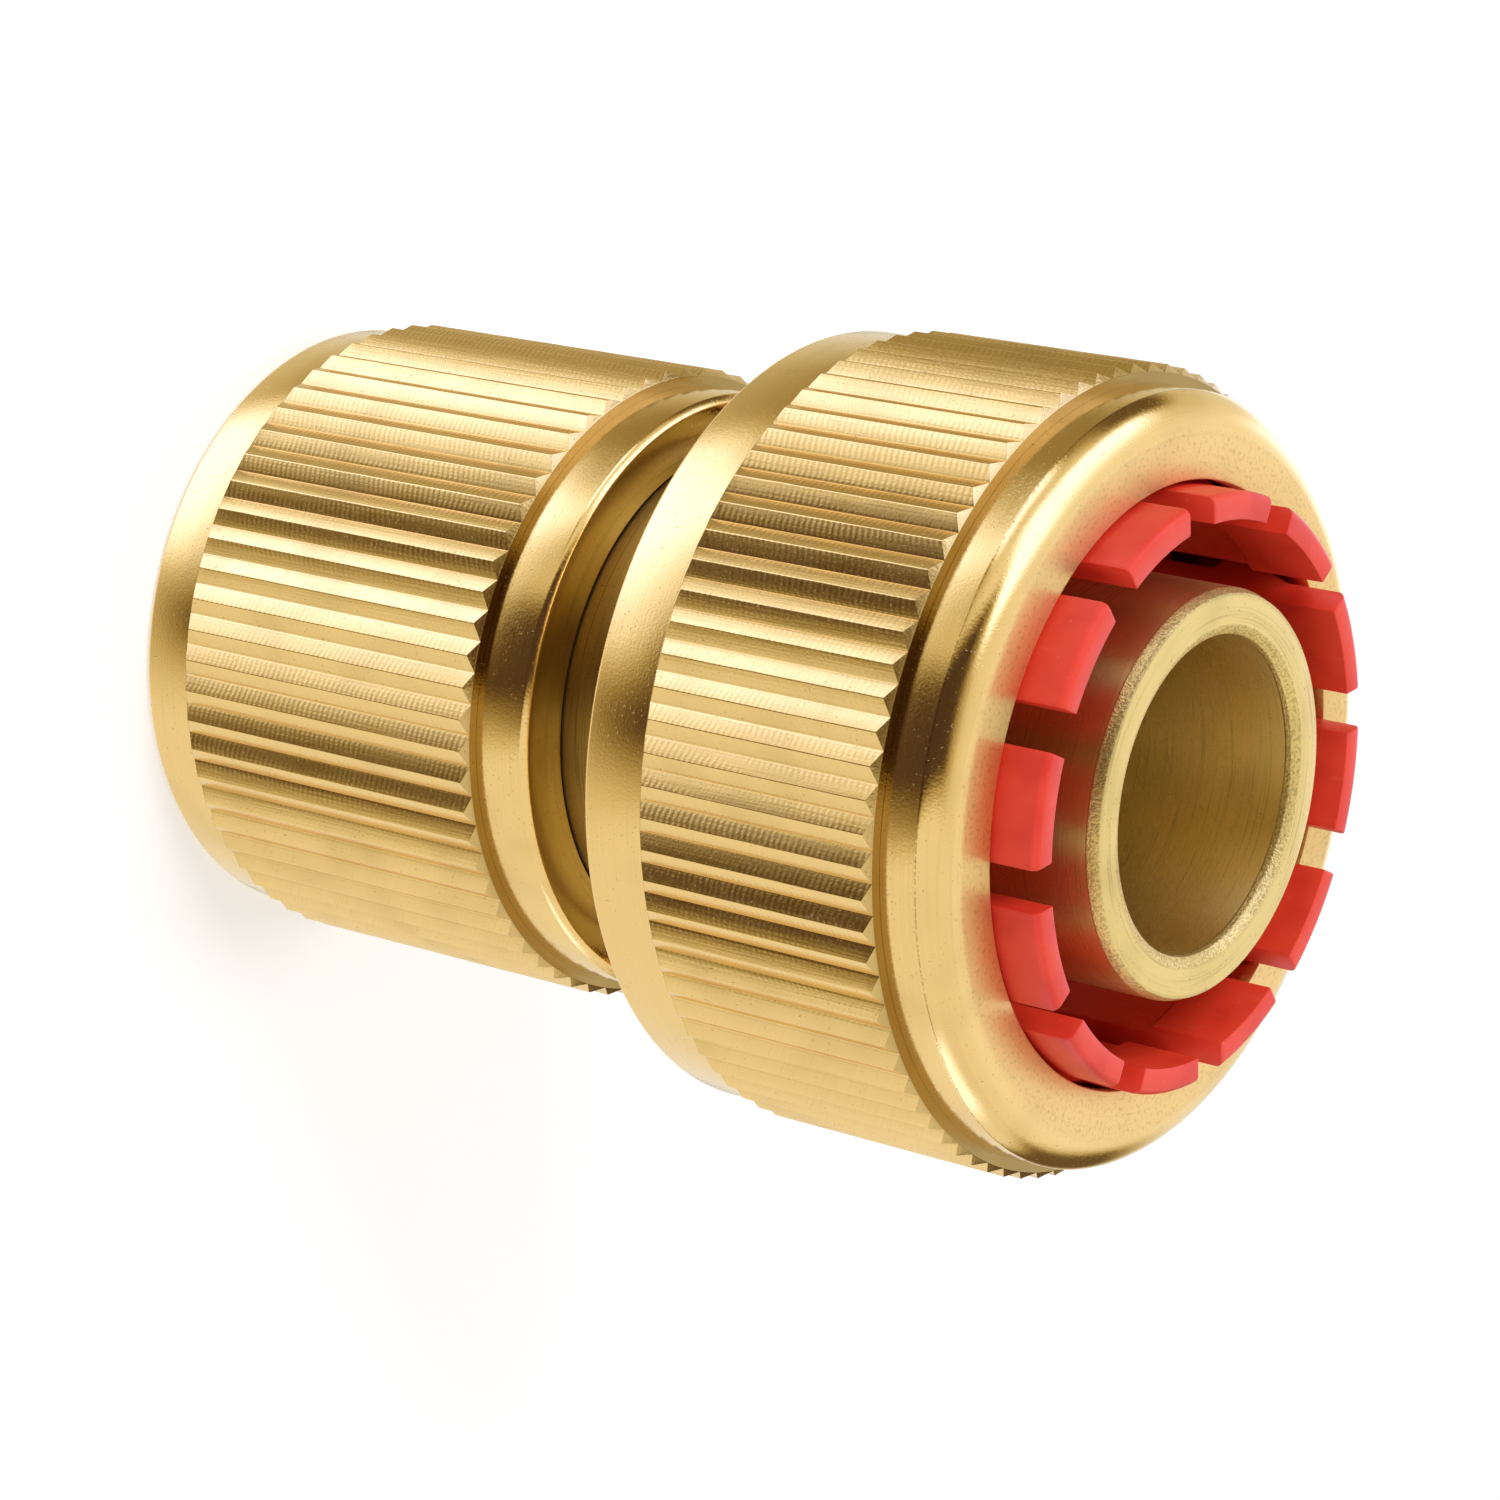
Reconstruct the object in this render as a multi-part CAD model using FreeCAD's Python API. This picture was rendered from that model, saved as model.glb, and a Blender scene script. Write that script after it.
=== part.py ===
import FreeCAD, Part
import math
import os

from FreeCAD import Vector

# Hose quick connector in brass, with a red plastic collet.
# Sizes are in millimetres. +Z runs along the connector from the socket mouth to the hose end,
# and the origin is the centre of the sleeve's rim, on which the connector stands.
# The radii follow each other outwards from SOCKET_R, which fits the plug.

# Clearances
RUNNING = 0.08
BALL_CLEARANCE = 0.05
SEAT_GAP = 0.03
RING_GAP = 0.2
SLEEVE_TO_NUT = 1.07
FINGER_TO_NUT = 0.25
COLLET_GAP = 0.1

# Hose stem of the body
STEM_STEP = 1.71
STEM_WALL = 2.17
STEM_PROUD = 2.51
STEM_TIP_CHAMFER_R = 0.22
STEM_TIP_CHAMFER_Z = 0.56
STEM_MOUTH_CHAMFER_R = 0.48
STEM_MOUTH_CHAMFER_Z = 0.26

# Socket of the body
SOCKET_R = 8.05
SOCKET_DEPTH = 22.6
MOUTH_RELIEF = 0.75
MOUTH_WALL = 2.0
MOUTH_PAST_BALLS = 1.8
MOUTH_CHAMFER = 0.5
MOUTH_SETBACK = 0.4
SOCKET_LEAD_IN = 1.0

# Barrel, flange and spigot of the body
SPRING_ROOM = 1.5
SHOULDER_COVER = 2.63
FLANGE_CHAMFER = 0.8
FLANGE_INSET = 0.8
FLANGE_TO_NUT_FACE = 11.25
SPIGOT_RISE = 2.54
SPIGOT_LENGTH = 2.3

# Snap ring
RING_SETBACK = 1.0
RING_THICK = 1.04
RING_PROUD = 2.4
RING_GROOVE_DEPTH = 0.6
RING_SPLIT = 5.0

# Locking balls and their pockets
BALL_COUNT = 6
BALL_R = 2.0
BALL_SETBACK = 6.4
BALL_STANDOFF = 0.07
BALL_LIFT = 0.75
POCKET_SEAT_ANGLE = 40.0

# Knurling
KNURL_END_CHAMFER = 0.35

# Release sleeve
SLEEVE_LENGTH = 24.63
SLEEVE_TRAVEL = 5.5
SLEEVE_WALL = 2.68
SLEEVE_END_BAND = 3.1
SLEEVE_END_STEP = 0.22
SLEEVE_REAR_BAND = 3.03
SLEEVE_ROOT_STEP = 0.49
SLEEVE_TOOTH = 0.4
SLEEVE_TEETH = 64
SLEEVE_TEETH_TURN = -0.6
SLEEVE_EDGE = 0.3
LEDGE_THICK = 1.5

# Return spring
SPRING_WIRE_R = 0.65
SPRING_TURNS = 4.5

# Clamp nut
NUT_LENGTH = 19.65
NUT_WALL = 2.62
NUT_REAR_BAND = 3.5
NUT_ROOT_STEP = 0.05
NUT_TOOTH = 0.4
NUT_TEETH = 80
NUT_TEETH_TURN = -1.6
NUT_FRONT_BAND = 1.9
NUT_FRONT_STEP = 0.5
NUT_NOSE_DROP = 1.8
NUT_NOSE_LENGTH = 1.25
NUT_NOSE_BULGE = 0.22
NUT_EDGE = 0.3
NUT_OPENING_LAND = 0.95
NUT_CONE_LENGTH = 5.1
NUT_CONE_RISE = 1.93

# Collet
FINGER_COUNT = 12
FINGER_PHASE = 9.05
FINGER_PROUD = 2.25
FINGER_GAP = 2.0
HOSE_ROOM = 3.14
FINGER_TIP_WALL = 1.3
FINGER_TIP_ROUND = 0.9
FINGER_SHANK_WALL = 1.1
PAD_LENGTH = 4.3
PAD_RELIEF = 0.35
HEAD_LENGTH = 6.9
COLLET_RING_INSET = 0.6
COLLET_RING_LENGTH = 2.5

# Radii of the socket end, outwards from the socket
MOUTH_R = SOCKET_R + MOUTH_RELIEF
MOUTH_OUTER_R = MOUTH_R + MOUTH_WALL
GROOVE_R = MOUTH_OUTER_R - RING_GROOVE_DEPTH
RING_R = MOUTH_OUTER_R + RING_PROUD
RING_POCKET_R = RING_R + RING_GAP
BALL_SEAT_R = SOCKET_R + BALL_STANDOFF + BALL_R
LEDGE_R = MOUTH_OUTER_R + RUNNING
BARREL_R = MOUTH_OUTER_R + SPRING_ROOM
SLEEVE_BORE_R = BARREL_R + RUNNING
SPRING_R = (MOUTH_OUTER_R + SLEEVE_BORE_R) / 2
SLEEVE_REAR_BAND_R = SLEEVE_BORE_R + SLEEVE_WALL
SLEEVE_END_BAND_R = SLEEVE_REAR_BAND_R + SLEEVE_END_STEP
SLEEVE_ROOT_R = SLEEVE_REAR_BAND_R + SLEEVE_ROOT_STEP
SLEEVE_TIP_R = SLEEVE_ROOT_R + SLEEVE_TOOTH

# Radii of the hose end, outwards from the stem
STEM_R = SOCKET_R + STEM_STEP
STEM_BORE_R = STEM_R - STEM_WALL
SPIGOT_R = STEM_R + SPIGOT_RISE
COLLET_BORE_R = SPIGOT_R + COLLET_GAP
FINGER_INNER_R = STEM_R + HOSE_ROOM
FINGER_OUTER_R = FINGER_INNER_R + FINGER_TIP_WALL
NUT_OPENING_R = FINGER_OUTER_R + FINGER_TO_NUT
NUT_BORE_R = NUT_OPENING_R + NUT_CONE_RISE
FLANGE_R = NUT_BORE_R - RUNNING
COLLET_RING_R = FLANGE_R - COLLET_RING_INSET
NUT_REAR_BAND_R = NUT_BORE_R + NUT_WALL
NUT_ROOT_R = NUT_REAR_BAND_R + NUT_ROOT_STEP
NUT_TIP_R = NUT_ROOT_R + NUT_TOOTH
NUT_FRONT_BAND_R = NUT_REAR_BAND_R - NUT_FRONT_STEP
NUT_NOSE_R = NUT_FRONT_BAND_R - NUT_NOSE_DROP

# Stations along the axis
BALL_Z = MOUTH_SETBACK + BALL_SETBACK
MOUTH_END_Z = BALL_Z + BALL_R + MOUTH_PAST_BALLS
SOCKET_END_Z = MOUTH_SETBACK + SOCKET_DEPTH
GROOVE_Z = MOUTH_SETBACK + RING_SETBACK
RING_Z = GROOVE_Z + SEAT_GAP
GROOVE_TOP_Z = RING_Z + RING_THICK + SEAT_GAP
SLEEVE_STOP_Z = GROOVE_TOP_Z
LEDGE_Z = BALL_Z + BALL_R + BALL_CLEARANCE
LEDGE_TOP_Z = LEDGE_Z + LEDGE_THICK
SHOULDER_Z = SLEEVE_LENGTH - SHOULDER_COVER
NUT_Z = SLEEVE_LENGTH + SLEEVE_TRAVEL + SLEEVE_TO_NUT
NUT_FACE_Z = NUT_Z + NUT_LENGTH
FLANGE_Z = NUT_Z + FLANGE_INSET
FLANGE_TOP_Z = NUT_FACE_Z - FLANGE_TO_NUT_FACE
SPIGOT_TOP_Z = FLANGE_TOP_Z + SPIGOT_LENGTH
STEM_TIP_Z = NUT_FACE_Z + STEM_PROUD
FINGER_TIP_Z = NUT_FACE_Z + FINGER_PROUD

# The sleeve's inner cone lifts the balls by BALL_LIFT over the sleeve's travel
RAMP_SLOPE = BALL_LIFT / SLEEVE_TRAVEL
RAMP_ANGLE = math.atan(RAMP_SLOPE)
RAMP_R = BALL_SEAT_R + (BALL_R + BALL_CLEARANCE) / math.cos(RAMP_ANGLE)

# The nut's inner cone and the outside of the finger heads have one slope
CONE_SLOPE = NUT_CONE_RISE / NUT_CONE_LENGTH
CONE_TOP_Z = NUT_FACE_Z - NUT_OPENING_LAND


class Outline:
    """A closed outline in the plane of radius and height, drawn point by point."""

    def __init__(self, radius, height):
        self.start = Vector(radius, 0, height)
        self.here = self.start
        self.edges = []

    def line(self, radius, height):
        end = Vector(radius, 0, height)
        self.edges.append(Part.LineSegment(self.here, end).toShape())
        self.here = end
        return self

    def arc(self, middle, radius, height):
        end = Vector(radius, 0, height)
        through = Vector(middle[0], 0, middle[1])
        self.edges.append(Part.Arc(self.here, through, end).toShape())
        self.here = end
        return self

    def turned(self):
        """Close the outline and turn it round the connector's axis."""
        if self.here.distanceToPoint(self.start) > 1e-6:
            self.line(self.start.x, self.start.z)
        face = Part.Face(Part.Wire(self.edges))
        return face.revolve(Vector(0, 0, 0), Vector(0, 0, 1), 360)


def quarter_point(centre, radius, degrees):
    """The point of a round in an outline, at an angle from the outward direction."""
    angle = math.radians(degrees)
    return centre[0] + radius * math.cos(angle), centre[1] + radius * math.sin(angle)


def ridged_ring(root_r, tip_r, bore_r, teeth, turn, low, high):
    """Straight knurling: a ring with sharp ridges along the axis, chamfered at both ends."""
    step = 2 * math.pi / teeth
    points = []
    for tooth in range(teeth):
        root_angle = math.radians(turn) + tooth * step
        tip_angle = root_angle + step / 2
        points.append(Vector(root_r * math.cos(root_angle), root_r * math.sin(root_angle), low))
        points.append(Vector(tip_r * math.cos(tip_angle), tip_r * math.sin(tip_angle), low))
    points.append(points[0])
    prism = Part.Face(Part.makePolygon(points)).extrude(Vector(0, 0, high - low))
    chamfered = Outline(bore_r, low)
    chamfered.line(root_r, low)
    chamfered.line(tip_r, low + KNURL_END_CHAMFER)
    chamfered.line(tip_r, high - KNURL_END_CHAMFER)
    chamfered.line(root_r, high)
    chamfered.line(bore_r, high)
    return prism.common(chamfered.turned())


def ramp_radius(height):
    """Radius of the sleeve's inner cone at a height, with the sleeve at rest."""
    return RAMP_R - (height - BALL_Z) * RAMP_SLOPE


def cone_radius(height):
    """Radius inside the nut at a height: its inner cone, and its bore below that."""
    return min(NUT_OPENING_R + (CONE_TOP_Z - height) * CONE_SLOPE, NUT_BORE_R)


def ball_angles():
    return [index * 360 / BALL_COUNT for index in range(BALL_COUNT)]


def outward(degrees):
    angle = math.radians(degrees)
    return Vector(math.cos(angle), math.sin(angle), 0)


def ball_pocket(degrees):
    """A radial drilling whose cone keeps the ball from falling into the socket."""
    direction = outward(degrees)
    seat = math.radians(POCKET_SEAT_ANGLE)
    drill_r = BALL_R + RUNNING
    apex = BALL_SEAT_R - (BALL_R + BALL_CLEARANCE) / math.sin(seat)
    cone_end = apex + drill_r / math.tan(seat)
    centre = Vector(0, 0, BALL_Z)
    cone = Part.makeCone(0, drill_r, cone_end - apex, centre + direction * apex, direction)
    drill = Part.makeCylinder(drill_r, MOUTH_OUTER_R, centre + direction * cone_end, direction)
    return cone.fuse(drill)


def make_socket_body():
    """Socket, barrel, threaded flange, spigot and hose stem, turned from one bar."""
    front = MOUTH_SETBACK
    edge = FLANGE_CHAMFER
    outline = Outline(MOUTH_R + MOUTH_CHAMFER, front)
    outline.line(MOUTH_OUTER_R - SLEEVE_EDGE, front)
    outline.line(MOUTH_OUTER_R, front + SLEEVE_EDGE)
    outline.line(MOUTH_OUTER_R, GROOVE_Z)
    outline.line(GROOVE_R, GROOVE_Z)
    outline.line(GROOVE_R, GROOVE_TOP_Z)
    outline.line(MOUTH_OUTER_R, GROOVE_TOP_Z)
    outline.line(MOUTH_OUTER_R, SHOULDER_Z)
    outline.line(BARREL_R - SLEEVE_EDGE, SHOULDER_Z)
    outline.line(BARREL_R, SHOULDER_Z + SLEEVE_EDGE)
    outline.line(BARREL_R, FLANGE_Z)
    outline.line(FLANGE_R - edge, FLANGE_Z)
    outline.line(FLANGE_R, FLANGE_Z + edge)
    outline.line(FLANGE_R, FLANGE_TOP_Z - edge)
    outline.line(FLANGE_R - edge, FLANGE_TOP_Z)
    outline.line(SPIGOT_R, FLANGE_TOP_Z)
    outline.line(SPIGOT_R, SPIGOT_TOP_Z)
    outline.line(STEM_R, SPIGOT_TOP_Z)
    outline.line(STEM_R, STEM_TIP_Z - STEM_TIP_CHAMFER_Z)
    outline.line(STEM_R - STEM_TIP_CHAMFER_R, STEM_TIP_Z)
    outline.line(STEM_BORE_R + STEM_MOUTH_CHAMFER_R, STEM_TIP_Z)
    outline.line(STEM_BORE_R, STEM_TIP_Z - STEM_MOUTH_CHAMFER_Z)
    outline.line(STEM_BORE_R, SOCKET_END_Z)
    outline.line(SOCKET_R, SOCKET_END_Z)
    outline.line(SOCKET_R, MOUTH_END_Z + SOCKET_LEAD_IN)
    outline.line(MOUTH_R, MOUTH_END_Z)
    outline.line(MOUTH_R, front + MOUTH_CHAMFER)
    body = outline.turned()
    for degrees in ball_angles():
        body = body.cut(ball_pocket(degrees))
    return body


def make_release_sleeve():
    """Knurled sleeve with the ring's pocket, the locking cone, a ledge and the spring chamber."""
    edge = SLEEVE_EDGE
    knurl_low = SLEEVE_END_BAND
    knurl_high = SLEEVE_LENGTH - SLEEVE_REAR_BAND
    core_r = SLEEVE_REAR_BAND_R - edge
    outline = Outline(RING_POCKET_R, 0)
    outline.line(SLEEVE_END_BAND_R - edge, 0)
    outline.line(SLEEVE_END_BAND_R, edge)
    outline.line(SLEEVE_END_BAND_R, knurl_low)
    outline.line(core_r, knurl_low)
    outline.line(core_r, knurl_high)
    outline.line(SLEEVE_REAR_BAND_R, knurl_high)
    outline.line(SLEEVE_REAR_BAND_R, SLEEVE_LENGTH - edge)
    outline.line(SLEEVE_REAR_BAND_R - edge, SLEEVE_LENGTH)
    outline.line(SLEEVE_BORE_R, SLEEVE_LENGTH)
    outline.line(SLEEVE_BORE_R, LEDGE_TOP_Z)
    outline.line(LEDGE_R, LEDGE_TOP_Z)
    outline.line(LEDGE_R, LEDGE_Z)
    outline.line(ramp_radius(LEDGE_Z), LEDGE_Z)
    outline.line(ramp_radius(SLEEVE_STOP_Z), SLEEVE_STOP_Z)
    outline.line(RING_POCKET_R, SLEEVE_STOP_Z)
    knurl = ridged_ring(SLEEVE_ROOT_R, SLEEVE_TIP_R, core_r, SLEEVE_TEETH, SLEEVE_TEETH_TURN, knurl_low, knurl_high)
    return outline.turned().fuse(knurl).removeSplitter()


def make_return_spring():
    """Coil spring of round wire, its ends ground flat."""
    height = SHOULDER_Z - LEDGE_TOP_Z
    pitch = height / SPRING_TURNS
    helix = Part.makeHelix(pitch, height, SPRING_R)
    helix.translate(Vector(0, 0, LEDGE_TOP_Z))
    wire_end = Part.Wire(Part.makeCircle(SPRING_WIRE_R, Vector(SPRING_R, 0, LEDGE_TOP_Z), Vector(0, 1, 0)))
    coil = Part.Wire(helix).makePipeShell([wire_end], True, True)
    reach = SPRING_R + 2 * SPRING_WIRE_R
    keep = Part.makeCylinder(reach, height, Vector(0, 0, LEDGE_TOP_Z))
    return coil.common(keep)


def make_retaining_ring():
    """Open snap ring of flat wire."""
    inner_r = GROOVE_R + RUNNING
    outer = Part.makeCylinder(RING_R, RING_THICK, Vector(0, 0, RING_Z))
    inner = Part.makeCylinder(inner_r, RING_THICK, Vector(0, 0, RING_Z))
    split = Part.makeBox(RING_R + 1, RING_SPLIT, RING_THICK, Vector(0, -RING_SPLIT / 2, RING_Z))
    return outer.cut(inner).cut(split)


def make_locking_ball(degrees):
    return Part.makeSphere(BALL_R, Vector(0, 0, BALL_Z) + outward(degrees) * BALL_SEAT_R)


def make_clamp_nut():
    """Knurled nut with a plain band at each end, a rounded nose and an inner cone."""
    knurl_low = NUT_Z + NUT_REAR_BAND
    nose_z = NUT_FACE_Z - NUT_NOSE_LENGTH
    knurl_high = nose_z - NUT_FRONT_BAND
    core_r = NUT_FRONT_BAND_R - NUT_EDGE
    cone_low = CONE_TOP_Z - NUT_CONE_LENGTH
    middle = ((NUT_FRONT_BAND_R + NUT_NOSE_R) / 2 + NUT_NOSE_BULGE,
              (nose_z + NUT_FACE_Z) / 2 + NUT_NOSE_BULGE)
    outline = Outline(NUT_BORE_R + NUT_EDGE, NUT_Z)
    outline.line(NUT_REAR_BAND_R - NUT_EDGE, NUT_Z)
    outline.line(NUT_REAR_BAND_R, NUT_Z + NUT_EDGE)
    outline.line(NUT_REAR_BAND_R, knurl_low)
    outline.line(core_r, knurl_low)
    outline.line(core_r, knurl_high)
    outline.line(NUT_FRONT_BAND_R, knurl_high)
    outline.line(NUT_FRONT_BAND_R, nose_z)
    outline.arc(middle, NUT_NOSE_R, NUT_FACE_Z)
    outline.line(NUT_OPENING_R, NUT_FACE_Z)
    outline.line(NUT_OPENING_R, CONE_TOP_Z)
    outline.line(NUT_BORE_R, cone_low)
    outline.line(NUT_BORE_R, NUT_Z + NUT_EDGE)
    knurl = ridged_ring(NUT_ROOT_R, NUT_TIP_R, core_r, NUT_TEETH, NUT_TEETH_TURN, knurl_low, knurl_high)
    return outline.turned().fuse(knurl).removeSplitter()


def make_hose_collet():
    """Moulded ring with twelve fingers, whose heads meet the nut's cone."""
    ring_z = FLANGE_TOP_Z + COLLET_GAP
    ring_top = ring_z + COLLET_RING_LENGTH
    head_low = FINGER_TIP_Z - HEAD_LENGTH
    head_high = CONE_TOP_Z
    pad_low = FINGER_TIP_Z - PAD_LENGTH
    relief_r = FINGER_INNER_R + PAD_RELIEF
    shank_r = relief_r + FINGER_SHANK_WALL
    head_r = cone_radius(head_low) - FINGER_TO_NUT
    round_centre = (FINGER_OUTER_R - FINGER_TIP_ROUND, FINGER_TIP_Z - FINGER_TIP_ROUND)
    outline = Outline(COLLET_BORE_R, ring_z)
    outline.line(COLLET_RING_R, ring_z)
    outline.line(COLLET_RING_R, ring_top)
    outline.line(shank_r, ring_top)
    outline.line(shank_r, head_low - (head_r - shank_r) / 2)
    outline.line(head_r, head_low)
    outline.line(FINGER_OUTER_R, head_high)
    outline.line(FINGER_OUTER_R, FINGER_TIP_Z - FINGER_TIP_ROUND)
    outline.arc(quarter_point(round_centre, FINGER_TIP_ROUND, 45), round_centre[0], FINGER_TIP_Z)
    outline.line(FINGER_INNER_R, FINGER_TIP_Z)
    outline.line(FINGER_INNER_R, pad_low + PAD_RELIEF)
    outline.line(relief_r, pad_low)
    outline.line(relief_r, ring_top)
    outline.line(COLLET_BORE_R, ring_top)
    collet = outline.turned()
    slot_r = FINGER_GAP / 2
    slot_z = ring_top + slot_r
    reach = COLLET_RING_R + 1
    for index in range(FINGER_COUNT):
        degrees = FINGER_PHASE + (index + 0.5) * 360 / FINGER_COUNT
        end = Part.makeCylinder(slot_r, reach, Vector(0, 0, slot_z), Vector(1, 0, 0))
        slot = Part.makeBox(reach, FINGER_GAP, FINGER_TIP_Z, Vector(0, -slot_r, slot_z))
        slot = slot.fuse(end)
        slot.rotate(Vector(0, 0, 0), Vector(0, 0, 1), degrees)
        collet = collet.cut(slot)
    return collet


def main():
    pieces = {
        "socket_body": make_socket_body(),
        "release_sleeve": make_release_sleeve(),
        "return_spring": make_return_spring(),
        "retaining_ring": make_retaining_ring(),
        "hose_collet": make_hose_collet(),
        "clamp_nut": make_clamp_nut(),
    }
    for number, degrees in enumerate(ball_angles(), start=1):
        pieces[f"locking_ball_{number}"] = make_locking_ball(degrees)
    os.makedirs("parts", exist_ok=True)
    for name, shape in pieces.items():
        if not shape.isValid():
            raise RuntimeError(f"{name} isn't a valid solid")
        print(f"{name}: {len(shape.Solids)} solid, {shape.Volume:.1f} mm3")
        shape.exportStep(f"parts/{name}.step")


main()
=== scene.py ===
import logging
import math
from collections.abc import Callable, Sequence
from dataclasses import dataclass, field
from enum import Enum

import bmesh
import bpy
from mathutils import Matrix, Vector


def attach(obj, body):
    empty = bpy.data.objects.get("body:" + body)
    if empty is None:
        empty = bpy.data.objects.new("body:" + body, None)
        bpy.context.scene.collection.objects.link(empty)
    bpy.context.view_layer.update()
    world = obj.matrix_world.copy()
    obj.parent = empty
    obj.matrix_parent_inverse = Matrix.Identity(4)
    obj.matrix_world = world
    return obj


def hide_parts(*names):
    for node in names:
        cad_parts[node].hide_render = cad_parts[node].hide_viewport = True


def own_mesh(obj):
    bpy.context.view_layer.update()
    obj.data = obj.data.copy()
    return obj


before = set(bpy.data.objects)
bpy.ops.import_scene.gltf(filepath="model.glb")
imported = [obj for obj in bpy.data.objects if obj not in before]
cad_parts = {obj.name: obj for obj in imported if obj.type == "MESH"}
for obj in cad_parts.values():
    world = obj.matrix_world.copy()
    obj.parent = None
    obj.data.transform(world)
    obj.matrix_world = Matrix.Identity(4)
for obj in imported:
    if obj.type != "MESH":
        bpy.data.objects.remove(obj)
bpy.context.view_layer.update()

LOG = logging.getLogger("hose_connector")
MM = 0.001
MICRON = 1e-6
TINY = 1e-6

Colour = tuple[float, float, float]
Place = Callable[[Vector], bool]
Socket = bpy.types.NodeSocket


class Part(Enum):
    """The new pieces: the body that each rides on, its material slot and the solid that it replaces."""

    BODY = ("socket", "body_brass", "socket_body")
    SPRING = ("socket", "spring_steel", "return_spring")
    RING = ("snap_ring", "ring_steel", "retaining_ring")
    SLEEVE = ("sleeve", "sleeve_brass", "release_sleeve")
    COLLET = ("collet", "collet_plastic", "hose_collet")
    NUT = ("nut", "nut_brass", "clamp_nut")


class Joining(Enum):
    """What a second solid does to the first."""

    ADD = "UNION"
    CUT = "DIFFERENCE"


# ---------------------------------------------------------------- modelling


@dataclass(frozen=True)
class Corner:
    """A corner of a turned outline, in millimetres, and how much of it is rounded off."""

    radius: float
    height: float
    rounding: float = 0.0
    cuts: int = 2


class Work:
    """A piece in the making, with Blender's modelling operators on parts picked by their place."""

    def __init__(self, name: str) -> None:
        """Take over the object that was just added.

        Args:
            name: Its name from here on.
        """
        self.piece = bpy.context.active_object
        self.piece.name = name

    @staticmethod
    def clear() -> None:
        """Leave edit mode and deselect everything."""
        active = bpy.context.view_layer.objects.active
        if active is not None and active.mode != "OBJECT":
            bpy.ops.object.mode_set(mode="OBJECT")
        bpy.ops.object.select_all(action="DESELECT")

    def take(self) -> None:
        """Select the piece alone."""
        self.clear()
        self.piece.select_set(True)
        bpy.context.view_layer.objects.active = self.piece

    def settle(self) -> None:
        """Move the piece's place into its mesh."""
        self.take()
        bpy.ops.object.transform_apply(location=True, rotation=True, scale=True)

    def swing(self, degrees: float) -> None:
        """Rotate the mesh round the connector's axis.

        Args:
            degrees: How far.
        """
        self.piece.data.transform(Matrix.Rotation(math.radians(degrees), 4, "Z"))

    def edit(self, everything: bool = True) -> None:
        """Open the piece in edit mode, in vertex mode.

        Args:
            everything: Whether the whole mesh starts selected.
        """
        self.take()
        bpy.ops.object.mode_set(mode="EDIT")
        bpy.ops.mesh.select_mode(type="VERT")
        bpy.ops.mesh.select_all(action="SELECT" if everything else "DESELECT")

    def pick_points(self, wanted: Place) -> None:
        """Select vertices in edit mode by their place.

        Args:
            wanted: Says of a place, in metres, whether its vertex is selected.
        """
        bpy.ops.mesh.select_all(action="DESELECT")
        mesh = bmesh.from_edit_mesh(self.piece.data)
        for vertex in mesh.verts:
            vertex.select = wanted(vertex.co)
        mesh.select_flush_mode()
        bmesh.update_edit_mesh(self.piece.data)

    def pick_edges(self, wanted: Place) -> None:
        """Select edges in edit mode by the places of their ends.

        Args:
            wanted: Says of a place, in metres, whether an edge may end there.
        """
        bpy.ops.mesh.select_all(action="DESELECT")
        bpy.ops.mesh.select_mode(type="EDGE")
        mesh = bmesh.from_edit_mesh(self.piece.data)
        for edge in mesh.edges:
            if all(wanted(end.co) for end in edge.verts):
                edge.select_set(True)
        bmesh.update_edit_mesh(self.piece.data)

    @classmethod
    def draw(cls, name: str, corners: Sequence[Corner]) -> "Work":
        """Draw a closed outline in the plane of radius and height, corner by corner.

        Args:
            name: The new object's name.
            corners: The outline's corners in order.

        Returns:
            The outline, made of edges, with its place in its mesh.
        """
        first, last = corners[0], corners[-1]
        cls.clear()
        bpy.ops.mesh.primitive_plane_add(size=MM, location=(first.radius * MM, 0, first.height * MM))
        work = cls(name)
        work.edit()
        bpy.ops.mesh.merge(type="CENTER")
        for here, there in zip(corners, corners[1:]):
            step = ((there.radius - here.radius) * MM, 0, (there.height - here.height) * MM)
            bpy.ops.mesh.extrude_region_move(TRANSFORM_OT_translate={"value": step})
        ends = [Vector(((end.radius - first.radius) * MM, 0, (end.height - first.height) * MM))
                for end in (first, last)]
        work.pick_points(lambda co: any((co - end).length < TINY for end in ends))
        bpy.ops.mesh.edge_face_add()
        work.settle()
        work.edit(everything=False)
        for corner in corners:
            if corner.rounding:
                spot = Vector((corner.radius * MM, 0, corner.height * MM))
                work.pick_points(lambda co: (co - spot).length < TINY)
                bpy.ops.mesh.bevel(offset=corner.rounding * MM, segments=corner.cuts, affect="VERTICES")
        work.clear()
        return work

    def turn(self, steps: int, degrees: float = 360.0) -> None:
        """Spin an outline round the connector's axis.

        Args:
            steps: How many columns the surface has.
            degrees: How far it goes round.
        """
        self.edit()
        bpy.ops.mesh.spin(steps=steps, angle=-math.radians(degrees), center=(0, 0, 0), axis=(0, 0, 1))
        self.close()

    def cap(self) -> None:
        """Fill the open ends of a helical surface."""
        self.edit(everything=False)
        bpy.ops.mesh.select_non_manifold()
        bpy.ops.mesh.fill_holes(sides=0)
        self.close()

    def close(self) -> None:
        """Merge doubled vertices and point every face outwards."""
        self.edit()
        bpy.ops.mesh.remove_doubles(threshold=TINY)
        bpy.ops.mesh.normals_make_consistent(inside=False)
        self.clear()

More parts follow.
